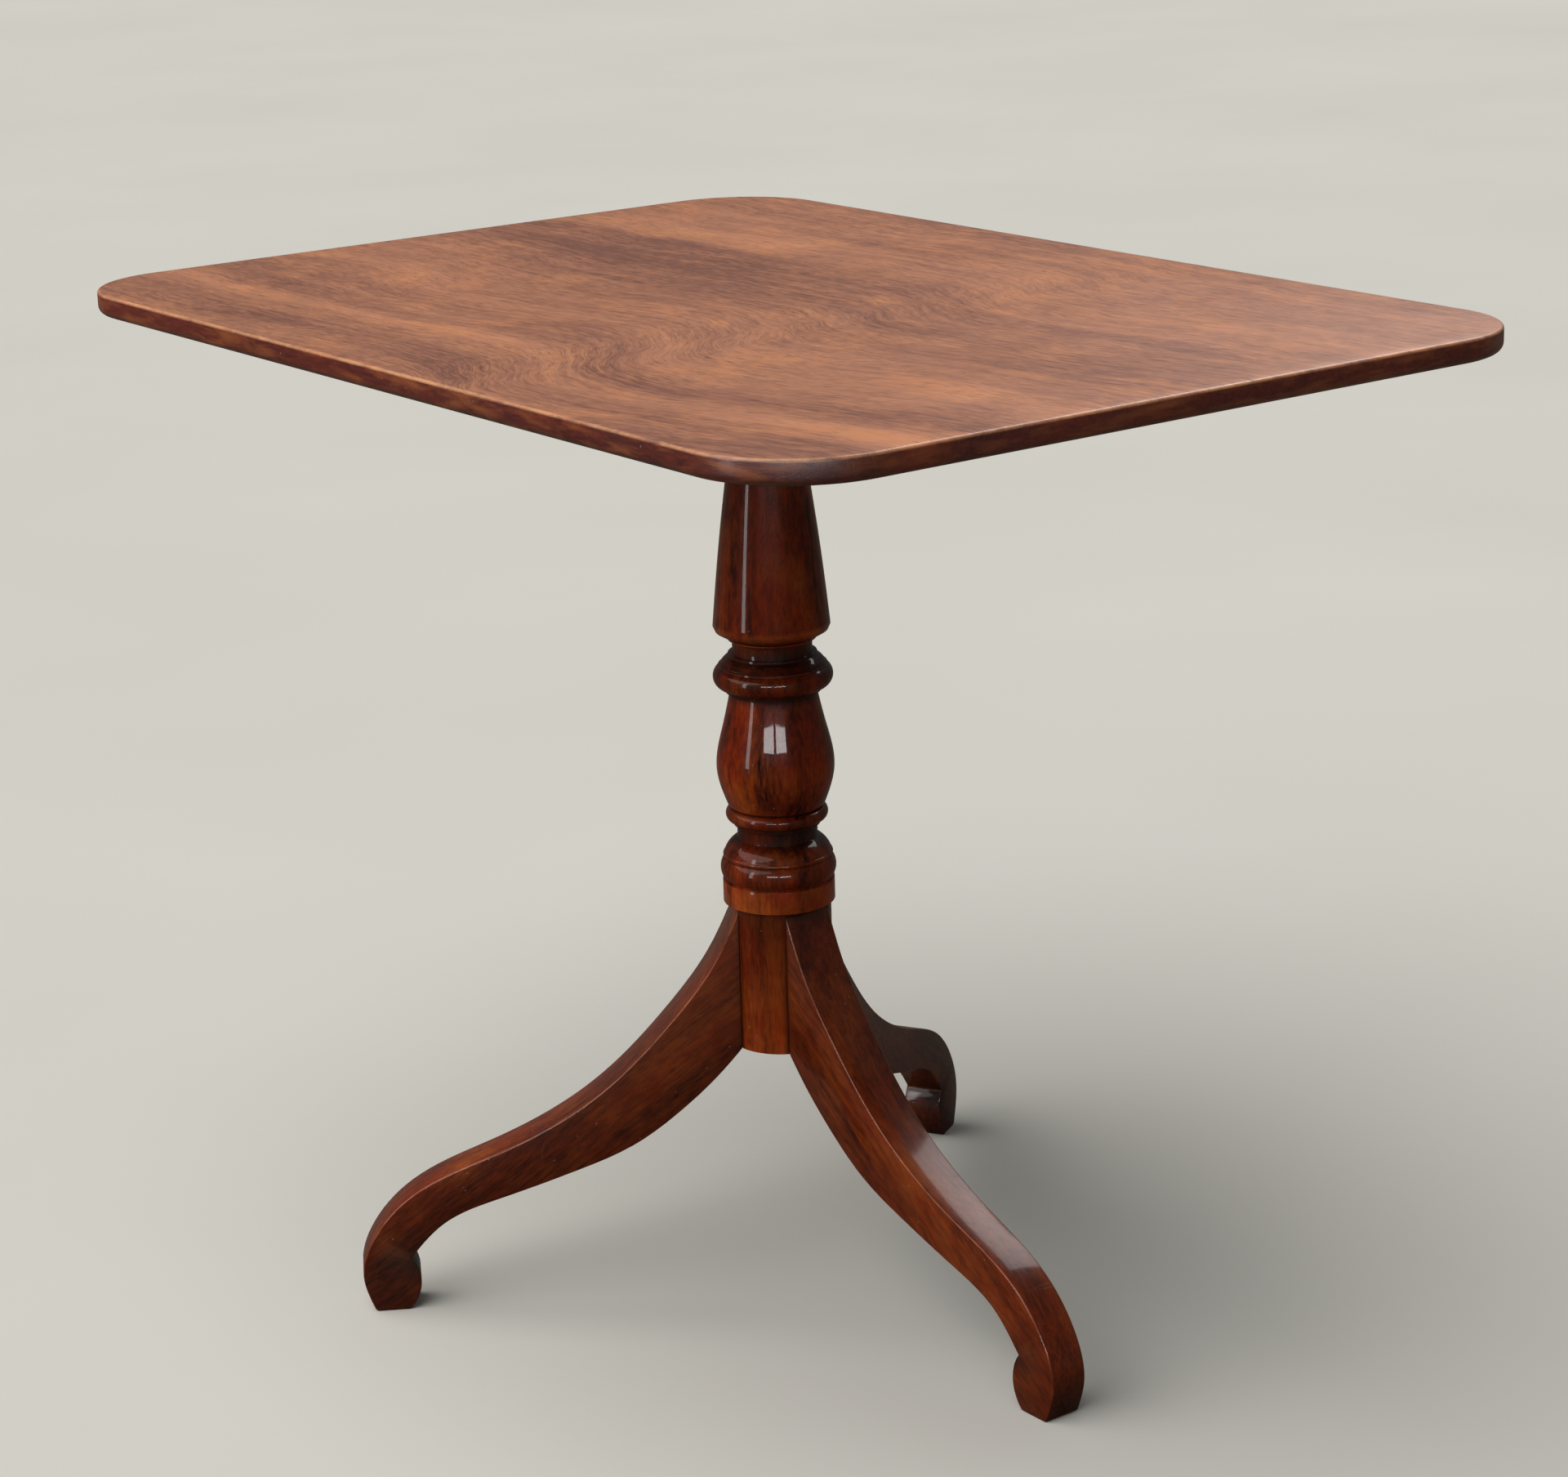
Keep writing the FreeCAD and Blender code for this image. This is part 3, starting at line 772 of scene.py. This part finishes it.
def mahogany_group():
    tree, given, out = group_of(
        "mahogany figure",
        {"Place": "Vector", "Pale": "Color", "Deep": "Color", "Glow": "Color", "Wander": "Float",
         "Bands": "Float", "Smoke": "Float", "Shine": "Float"},
        {"Color": "Color", "Tone": "Float", "Height": "Float"})
    slow = noise(tree, given["Place"], 4.5, 1.5, stretch=(1, 1, 0.4), output="Color")
    sway = {0: vector(tree, "SUBTRACT", slow, (0.5, 0.5, 0.5)), "Scale": given["Wander"]}
    sway = add(tree, "VectorMath", sway, operation="SCALE").outputs[0]
    place = vector(tree, "ADD", given["Place"], sway)
    bands = noise(tree, place, 34, 3, 0.55, (1, 1, 0.10))
    streaks = noise(tree, place, 190, 5, 0.62, (1, 1, 0.022))
    fibres = noise(tree, place, 900, 3, 0.6, (1, 1, 0.035))
    flecks = noise(tree, place, 380, 2, 0.6, (1, 1, 0.2))
    mottle = noise(tree, place, 26, 4, 0.6, (1.0, 1.0, 0.8))
    pores = ranged(tree, noise(tree, place, 1300, 1, 0.5, (1, 1, 0.06)), 0.60, 0.74)
    tone = maths(tree, "MULTIPLY", ranged(tree, bands, 0.34, 0.66), given["Bands"])
    tone = maths(tree, "MULTIPLY_ADD", ranged(tree, streaks, 0.33, 0.67), 0.32, tone)
    tone = maths(tree, "MULTIPLY_ADD", ranged(tree, flecks, 0.36, 0.64), 0.34, tone)
    tone = maths(tree, "MULTIPLY_ADD", ranged(tree, fibres, 0.3, 0.7), 0.16, tone)
    tone = maths(tree, "SUBTRACT", tone, given["Smoke"])
    tone = maths(tree, "ADD", tone, given["Shine"], clamp=True)
    wood = mixed(tree, tone, given["Deep"], given["Pale"])
    glow = maths(tree, "MULTIPLY", tone, 0.8)
    glow = maths(tree, "MULTIPLY", ranged(tree, mottle, 0.45, 0.72), glow)
    wood = mixed(tree, glow, wood, given["Glow"])
    shine = maths(tree, "MULTIPLY", given["Shine"], 0.6, clamp=True)
    wood = mixed(tree, shine, wood, given["Glow"])
    wood = mixed(tree, maths(tree, "MULTIPLY", pores, 0.55), wood, PORE_COLOUR)
    height = maths(tree, "MULTIPLY_ADD", pores, -0.8, maths(tree, "MULTIPLY", fibres, 0.4))
    join(tree, out, {"Color": wood, "Tone": tone, "Height": height})
    return tree


MAHOGANY = mahogany_group()
print(MAHOGANY.name, "has", len(MAHOGANY.nodes), "nodes")

# %% [markdown]
# ## Wear, painted shade and dust
# One shared group lays age and painted shade over any finish. Worn arrises become paler where a
# patchy noise lets them, hollows get painted shade that goes nearly black, and a few pale specks of
# dust and thin scratches lie anywhere.
# It gives back a colour, and values for the roughness and the height of the surface.

# %% Shared group: age and painted shade
# Painted shade: the near-black that hollows, creases and joints are darkened towards.
PAINTED_SHADE_COLOUR = (0.006, 0.002, 0.001, 1)
DUST_COLOUR = (0.55, 0.42, 0.34, 1)
SCRATCH_COLOUR = (0.5, 0.36, 0.28, 1)


def age_and_shade_group():
    tree, given, out = group_of(
        "age",
        {"Color": "Color", "Worn Color": "Color", "Wear": "Float", "Dirt": "Float",
         "Specks": "Float"},
        {"Color": "Color", "Rough": "Float", "Height": "Float"})
    place = object_place(tree)
    patchy = noise(tree, place, 42, 4, 0.65)
    patches = ranged(tree, patchy, 0.38, 0.62, 0.15, 1)
    worn = maths(tree, "MULTIPLY", read(tree, "worn")["Fac"], patches)
    worn = maths(tree, "MULTIPLY", worn, given["Wear"], clamp=True)
    # Painted shade: hollows, creases and joints are darkened, more in some patches than in others.
    patches = ranged(tree, patchy, 0.25, 0.6, 0.65, 1)
    painted_shade = maths(tree, "MULTIPLY", read(tree, "painted_shade")["Fac"], patches)
    painted_shade = maths(tree, "MULTIPLY", painted_shade, given["Dirt"], clamp=True)
    cells = add(tree, "TexVoronoi", {"Vector": place, "Scale": 150.0}, feature="F1")
    chosen = ranged(tree, noise(tree, place, 60, 1), 0.56, 0.62)
    specks = ranged(tree, cells.outputs["Distance"], 0.10, 0.05)
    specks = maths(tree, "MULTIPLY", specks, chosen)
    specks = maths(tree, "MULTIPLY", specks, given["Specks"], clamp=True)
    smudge = noise(tree, place, 9, 3, 0.6)
    bent = vector(tree, "MULTIPLY", place, (0.35, 1.0, 0.2))
    lines = {"Vector": bent, "Scale": 55.0, "Detail": 0.0, "Distortion": 0.3}
    lines = add(tree, "TexNoise", lines).outputs["Fac"]
    scratch = maths(tree, "ABSOLUTE", maths(tree, "SUBTRACT", lines, 0.5))
    scratch = ranged(tree, scratch, 0.004, 0.0)
    scratch = maths(tree, "MULTIPLY", scratch, ranged(tree, smudge, 0.52, 0.6))
    aged_and_shaded = mixed(tree, maths(tree, "MULTIPLY", worn, 0.75), given["Color"], given["Worn Color"])
    # The painted shade is mixed in here.
    aged_and_shaded = mixed(tree, painted_shade, aged_and_shaded, PAINTED_SHADE_COLOUR)
    aged_and_shaded = mixed(tree, maths(tree, "MULTIPLY", specks, 0.7), aged_and_shaded, DUST_COLOUR)
    aged_and_shaded = mixed(tree, maths(tree, "MULTIPLY", scratch, 0.12), aged_and_shaded, SCRATCH_COLOUR)
    rough = maths(tree, "MULTIPLY", painted_shade, 0.3)
    rough = maths(tree, "MULTIPLY_ADD", ranged(tree, smudge, 0.35, 0.7), 0.10, rough)
    rough = maths(tree, "MULTIPLY_ADD", specks, 0.4, rough)
    height = maths(tree, "MULTIPLY_ADD", scratch, -0.5, maths(tree, "MULTIPLY", specks, 0.5))
    join(tree, out, {"Color": aged_and_shaded, "Rough": rough, "Height": height})
    return tree


AGE_AND_SHADE = age_and_shade_group()
print(AGE_AND_SHADE.name, "has", len(AGE_AND_SHADE.nodes), "nodes")

# %% [markdown]
# ## Three wood finishes from one recipe
# Every wooden finish joins the two groups in the same way: figure, then age and painted shade, then
# roughness and bump. Only colours and amounts differ. The column and the legs carry a deep red,
# glossy shellac, so they get a clear coat, and the top is paler and more worn. Roughness is never
# one number, because a hand has polished some places more than others.

# %% Wood recipe
def wood_material(name, pale, deep, glow, bands=0.42, wander=0.03, wear=0.8, dirt=1.0, specks=0.6,
                  smoke=0.0, rough=0.2, bump=0.25, masks=None, edge=None, **sockets):
    material, tree, shader = new_material(name, **sockets)
    inputs = {"Place": read(tree, GRAIN)["Vector"], "Pale": pale, "Deep": deep, "Glow": glow,
              "Wander": wander, "Bands": bands, "Smoke": smoke, "Shine": 0.0}
    if masks:
        inputs.update(masks(tree))
    figure = use_group(tree, MAHOGANY, inputs)
    wood = edge(tree, figure["Color"], figure["Tone"]) if edge else figure["Color"]
    worn_colour = [min(1.0, 1.5 * value + 0.03) for value in glow[:3]] + [1.0]
    # The age group adds wear, dust and scratches, and painted shade in the hollows.
    aged_and_shaded = use_group(tree, AGE_AND_SHADE, {"Color": wood, "Worn Color": worn_colour, "Wear": wear,
                                 "Dirt": dirt, "Specks": specks})
    roughness = maths(tree, "MULTIPLY_ADD", figure["Tone"], -0.05, rough + 0.02)
    roughness = maths(tree, "ADD", roughness, aged_and_shaded["Rough"], clamp=True)
    height = maths(tree, "ADD", figure["Height"], aged_and_shaded["Height"])
    join(tree, shader.inputs, {"Base Color": aged_and_shaded["Color"], "Roughness": roughness,
                               "Normal": bumped(tree, bump, 0.0003, height)})
    return material


column_wood = wood_material(
    "polished column mahogany", colour(192, 62, 12), colour(30, 1, 1), colour(208, 106, 32),
    bands=0.75, smoke=0.22, rough=0.2, wander=0.02, wear=0.5, dirt=0.9,
    Specular_IOR_Level=0.05, Coat_Weight=0.4, Coat_Roughness=0.04, Coat_Ior=1.45)
leg_wood = wood_material(
    "polished leg mahogany", colour(138, 50, 12), colour(30, 2, 1), colour(166, 82, 28),
    bands=0.5, smoke=0.08, rough=0.26, wander=0.06, wear=0.6,
    Specular_IOR_Level=0.12, Coat_Weight=0.5, Coat_Roughness=0.1, Coat_Ior=1.45)

# %% [markdown]
# ## The figure of the top
# The top shows one wide piece of figure. Beside its left edge a pale line winds along the board,
# with smoky bands on both sides of it that follow the same bends, and the rest of the board is
# calmer. A float curve gives the winding line, the wood's place is bent by it, and two ramps across
# the bent board set where smoke and shine lie. The ramps' stops are in mm from the middle.

# %% The top's own bends and bands
WINDING = [(0, 0.72), (0.024, 0.70), (0.173, 0.43), (0.327, 0.23), (0.411, 0.53), (0.518, 0.77),
           (0.696, 0.60), (1, 0.57)]
TOP_WIDTH = 610
SMOKE = [(-305, 0.22), (-262, 0.40), (-240, 0.15), (-222, 0.0), (-203, 0.05), (-185, 0.46),
         (-160, 0.30), (-120, 0.10), (-60, 0.05), (-5, 0.24), (38, 0.46), (72, 0.30), (104, 0.45),
         (120, 0.10), (160, 0.02), (215, 0.22), (260, 0.10), (305, 0.22)]
SHINE = [(-305, 0.0), (-236, 0.0), (-221, 0.75), (-206, 0.0), (-150, 0.05), (-110, 0.25),
         (-60, 0.05), (60, 0.0), (130, 0.10), (152, 0.34), (185, 0.05), (305, 0.0)]


def across_ramp(tree, value, stops):
    """A smooth grey ramp over the width of the top."""
    across = ranged(tree, value, top_low.x, top_high.x)
    ramp = add(tree, "ValToRGB", {"Fac": across})
    ramp.color_ramp.interpolation = "B_SPLINE"
    marks = ramp.color_ramp.elements
    while len(marks) < len(stops):
        marks.new(0.5)
    for mark, (place, level) in zip(marks, stops):
        mark.position = (place + TOP_WIDTH / 2) / TOP_WIDTH
        mark.color = (level, level, level, 1)
    return ramp.outputs["Color"]


def winding_curve(tree, along):
    """The sideways place of the pale line, from 0 to 1, at each place along the board."""
    curve = add(tree, "FloatCurve", {"Value": ranged(tree, along, top_low.y, top_high.y)})
    line = curve.mapping.curves[0]
    for x, y in WINDING[1:-1]:
        line.points.new(x, y)
    line.points[0].location = WINDING[0]
    line.points[-1].location = WINDING[-1]
    curve.mapping.update()
    return curve.outputs[0]


def top_masks(tree):
    """The bent place of the wood, and where it is smoky or shines."""
    place = read(tree, GRAIN)["Vector"]
    parts = add(tree, "SeparateXYZ", {0: place}).outputs
    across, along = parts["X"], parts["Z"]
    bend = maths(tree, "MULTIPLY_ADD", winding_curve(tree, along), 0.11, -0.06)
    bend = maths(tree, "MULTIPLY", bend, ranged(tree, across, -0.15, 0.12, 1.0, 0.3))
    bent = maths(tree, "SUBTRACT", across, bend)
    ripple = noise(tree, place, 9, 2, 0.5, (1, 1, 0.6))
    bent = maths(tree, "MULTIPLY_ADD", maths(tree, "SUBTRACT", ripple, 0.5), 0.05, bent)
    place = add(tree, "CombineXYZ", {"X": bent, "Y": parts["Y"], "Z": along}).outputs[0]
    uneven = ranged(tree, noise(tree, place, 7, 3, 0.6, (1, 1, 0.5)), 0.35, 0.65, 0.25, 1.3)
    patches = ranged(tree, noise(tree, place, 11, 3, 0.6, (1, 1, 0.45)), 0.42, 0.66, 0.1, 1.2)
    smoke = maths(tree, "MULTIPLY", across_ramp(tree, bent, SMOKE), uneven)
    shine = maths(tree, "MULTIPLY", across_ramp(tree, bent, SHINE), patches)
    return {"Place": place, "Smoke": smoke, "Shine": shine}


def top_edge(tree, wood, tone):
    """The rim is dark with old polish, brown in patches, and the underside was never polished."""
    height = add(tree, "SeparateXYZ", {0: read(tree, GRAIN)["Vector"]}).outputs["Y"]
    below = ranged(tree, height, top_high.z - 1.0 * MM, top_high.z - 2.4 * MM)
    place = object_place(tree)
    patches = ranged(tree, noise(tree, place, 24, 4, 0.6, (1, 1, 5)), 0.46, 0.66)
    rim = mixed(tree, tone, colour(78, 12, 7), colour(138, 48, 22))
    rim = mixed(tree, maths(tree, "MULTIPLY", patches, 0.6), rim, colour(178, 96, 46))
    wood = mixed(tree, below, wood, rim)
    under = ranged(tree, height, top_low.z + 1.2 * MM, top_low.z + 0.2 * MM)
    bare = mixed(tree, tone, colour(66, 36, 24), colour(128, 84, 58))
    stains = ranged(tree, noise(tree, place, 8, 4, 0.65), 0.42, 0.66, 0, 0.7)
    bare = mixed(tree, stains, bare, colour(48, 28, 20))
    return mixed(tree, under, wood, bare)


top_wood = wood_material(
    "satin top mahogany", colour(216, 144, 107), colour(134, 80, 62), colour(234, 152, 96),
    bands=0.24, rough=0.36, wander=0.012, wear=0.9, specks=0.8, bump=0.3, masks=top_masks,
    edge=top_edge, Coat_Weight=0.15, Coat_Roughness=0.3)
print("the top's smoke has", len(SMOKE), "stops, and its shine", len(SHINE))

# %% [markdown]
# ## Everything that carries the mahogany
# Each new piece stands for one node of the fixed model, which is hidden, rides on that node's body
# and takes its mahogany finish.

# %% Dress the wooden pieces
DRESS = {"table_top": (top_board, "top", top_wood, "top_wood"),
         "column": (column, "base", column_wood, "column_wood")}
for leg in legs:
    DRESS[leg.name.replace("curved_", "")] = (leg, "base", leg_wood, "leg_wood")
for node, (piece, body, material, slot) in DRESS.items():
    piece.data.materials.append(material)
    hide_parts(node)
    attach(piece, body)
print("dressed", ", ".join(DRESS))

# %% [markdown]
# ## The parts under the top
# The block, the bearers, the catch's brass and the screws keep their modelled shape. What they
# need is a finish: bare wood that was never polished, brass gone brown, and steel and iron gone
# dull.

# %% Finishes for the fixed parts
def bare_wood(name, pale, deep, stretch):
    material, tree, shader = new_material(name)
    place = object_place(tree)
    streaks = noise(tree, place, 150, 5, 0.6, stretch)
    fibres = noise(tree, place, 700, 3, 0.6, stretch)
    stains = noise(tree, place, 14, 4, 0.6)
    tone = maths(tree, "MULTIPLY", fibres, 0.4)
    tone = maths(tree, "MULTIPLY_ADD", ranged(tree, streaks, 0.3, 0.7), 0.6, tone)
    stain_colour = [0.25 * value for value in deep[:3]] + [1]
    wood = mixed(tree, tone, deep, pale)
    wood = mixed(tree, ranged(tree, stains, 0.5, 0.7, 0, 0.55), wood, stain_colour)
    join(tree, shader.inputs, {"Base Color": wood,
                               "Roughness": ranged(tree, stains, 0.3, 0.7, 0.62, 0.8),
                               "Normal": bumped(tree, 0.5, 0.0005, tone)})
    return material


def old_metal(name, bright, dull, tarnish=0.5, rough=(0.25, 0.6), grain=60, metallic=1.0):
    material, tree, shader = new_material(name, Metallic=metallic)
    place = object_place(tree)
    clouds = noise(tree, place, grain, 5, 0.65)
    spots = noise(tree, place, grain * 9, 3, 0.6)
    mask = ranged(tree, clouds, 0.62 - 0.3 * tarnish, 0.78 - 0.3 * tarnish)
    roughness = ranged(tree, clouds, 0.35, 0.65, *rough)
    roughness = maths(tree, "MULTIPLY_ADD", spots, 0.12, roughness)
    join(tree, shader.inputs, {"Base Color": mixed(tree, mask, bright, dull),
                               "Roughness": roughness,
                               "Normal": bumped(tree, 0.35, 0.0002, spots)})
    return material


FIXED_FINISH = {
    "underside_wood": bare_wood(
        "bare mahogany", colour(140, 88, 58), colour(74, 36, 22), (0.03, 1, 1)),
    "wedge_wood": bare_wood(
        "bare hardwood", colour(176, 128, 84), colour(112, 70, 42), (1, 1, 0.03)),
    "old_brass": old_metal(
        "tarnished brass", colour(196, 160, 88), colour(92, 62, 30), 0.55),
    "screw_brass": old_metal(
        "brass screws", colour(178, 142, 76), colour(74, 50, 26), 0.6, grain=240),
    "screw_steel": old_metal(
        "dull screws", colour(120, 114, 108), colour(58, 44, 36), 0.6, grain=240),
    "pin_steel": old_metal(
        "dull pins", colour(132, 126, 120), colour(66, 54, 46), 0.5, grain=140),
    "spring_steel": old_metal(
        "spring steel", colour(176, 172, 168), colour(110, 104, 98), 0.3, grain=300),
    "plate_iron": old_metal(
        "forged iron", colour(62, 56, 52), colour(34, 24, 20), 0.6, (0.55, 0.8), 80, 0.8),
}


def dress_fixed():
    for node, slot in record_slots().items():
        if slot in FIXED_FINISH:
            piece = frame["nodes"][node]
            piece.data.materials.clear()
            piece.data.materials.append(FIXED_FINISH[slot])
            for face in piece.data.polygons:
                face.material_index = 0


def record_slots():
    """Each node's slot of finish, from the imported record."""
    return {part["node"]: part["material_slot"] for part in frame["record"]["subparts"]}


dress_fixed()
spring.data.materials.append(FIXED_FINISH["spring_steel"])
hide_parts("catch_spring")
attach(spring, "top")
print("finishes for the fixed parts:", len(FIXED_FINISH))

# %% [markdown]
# ## Camera, floor and light
# The camera stands at the left front corner, looks down a little and has a long lens, so
# the top is seen as a narrow diamond. The floor is plain and pale. The light is a wide, soft sky.
# Four panels show only in the gloss: a strip at the left, a panel at the right that gives the front
# leg its sheen, and a pair of panes in front, which give the turned parts their two bright marks.

# %% Camera
lens = 85.6
sensor_width = 36
camera_place = (-1.4556, -1.9827, 1.1311)
yaw, pitch, roll = -36.431, -16.565, 1.649


def put_in_scene(name, data):
    thing = bpy.data.objects.new(name, data)
    bpy.context.scene.collection.objects.link(thing)
    return thing


def turned(degrees, axis):
    return Matrix.Rotation(math.radians(degrees), 4, axis)


def add_camera():
    data = bpy.data.cameras.new("table_camera")
    data.sensor_fit = "HORIZONTAL"
    data.sensor_width = sensor_width
    data.lens = lens
    camera = put_in_scene("table_camera", data)
    turn = turned(yaw, "Z") @ turned(pitch, "X") @ turned(roll, "Y") @ turned(90, "X")
    camera.matrix_world = Matrix.Translation(camera_place) @ turn
    bpy.context.scene.camera = camera


add_camera()
print("camera at", camera_place, "with a", lens, "mm lens")

# %% Floor
floor_size = 400


def lay_floor():
    """A pale floor that colours the table's underside little, and that is clear from below."""
    bpy.ops.object.select_all(action="DESELECT")
    bpy.ops.mesh.primitive_plane_add(size=floor_size, location=(0, 0, 0))
    floor = named("floor")
    material, tree, shader = new_material("floor paint", Roughness=0.85)
    clouds = noise(tree, object_place(tree), 1.3, 3)
    pale = mixed(tree, clouds, colour(212, 208, 198), colour(222, 219, 211))
    seen = add(tree, "LightPath").outputs["Is Camera Ray"]
    paint = mixed(tree, seen, colour(88, 84, 74), pale)
    clear = add(tree, "BsdfTransparent").outputs[0]
    below = add(tree, "NewGeometry").outputs["Backfacing"]
    tree.links.new(paint, shader.inputs["Base Color"])
    surface = add(tree, "MixShader", {0: below, 1: shader.outputs["BSDF"], 2: clear}).outputs[0]
    tree.links.new(surface, tree.nodes["Material Output"].inputs["Surface"])
    floor.data.materials.append(material)
    report(floor)


lay_floor()

# %% Lights
AIM = Vector((0, 0, 0.4))
FRONT = Vector((-0.593, -0.805, 0))
LEFT = Vector((-0.805, 0.593, 0))


def from_table(front, left, up):
    """A place given from the table: towards the camera, to its left, and up."""
    return FRONT * front + LEFT * left + Vector((0, 0, up))


def shine_along(lamp, direction):
    lamp.rotation_euler = direction.to_track_quat("-Z", "Y").to_euler()


def panel(name, place, width, height, power):
    """A soft lamp that shows in gloss only."""
    data = bpy.data.lights.new(name, "AREA")
    data.shape = "RECTANGLE"
    data.size, data.size_y = width, height
    data.energy = power
    lamp = put_in_scene(name, data)
    lamp.visible_camera = lamp.visible_diffuse = False
    lamp.location = place
    shine_along(lamp, AIM - Vector(place))


def sky(strength, spread, front, left):
    """A very soft light from above, as from an open sky."""
    data = bpy.data.lights.new("sky", "SUN")
    data.energy = strength
    data.angle = math.radians(spread)
    shine_along(put_in_scene("sky", data), -from_table(front, left, 1))


sky(3.0, 80, 0.2, 0.6)
panel("left strip", from_table(1.6, 2.4, 1.0), 0.4, 1.8, 18)
panel("leg sheen", (1.45, 0.36, 2.1), 1.2, 1.2, 20)
for side in (-0.72, 0.72):
    panel("pane", from_table(3.1, side, 1.12), 1.2, 0.3, 24)

# %% Walls
WALL_SEEN = (0.63, 0.61, 0.56, 1)
WALL_LIGHT = (0.12, 0.125, 0.12, 1)


def studio_walls():
    """The walls look pale, and light the table little, so that polished wood stays deep."""
    studio = bpy.data.worlds.new("studio")
    studio.use_nodes = True
    tree = studio.node_tree
    seen = add(tree, "LightPath").outputs["Is Camera Ray"]
    wall = mixed(tree, seen, WALL_LIGHT, WALL_SEEN)
    tree.links.new(wall, tree.nodes["Background"].inputs["Color"])
    bpy.context.scene.world = studio


studio_walls()
# Colours are shown as they are, without a film's look.
bpy.context.scene.view_settings.view_transform = "Standard"
print("walls", WALL_SEEN[:3], "and the light from them", WALL_LIGHT[:3])
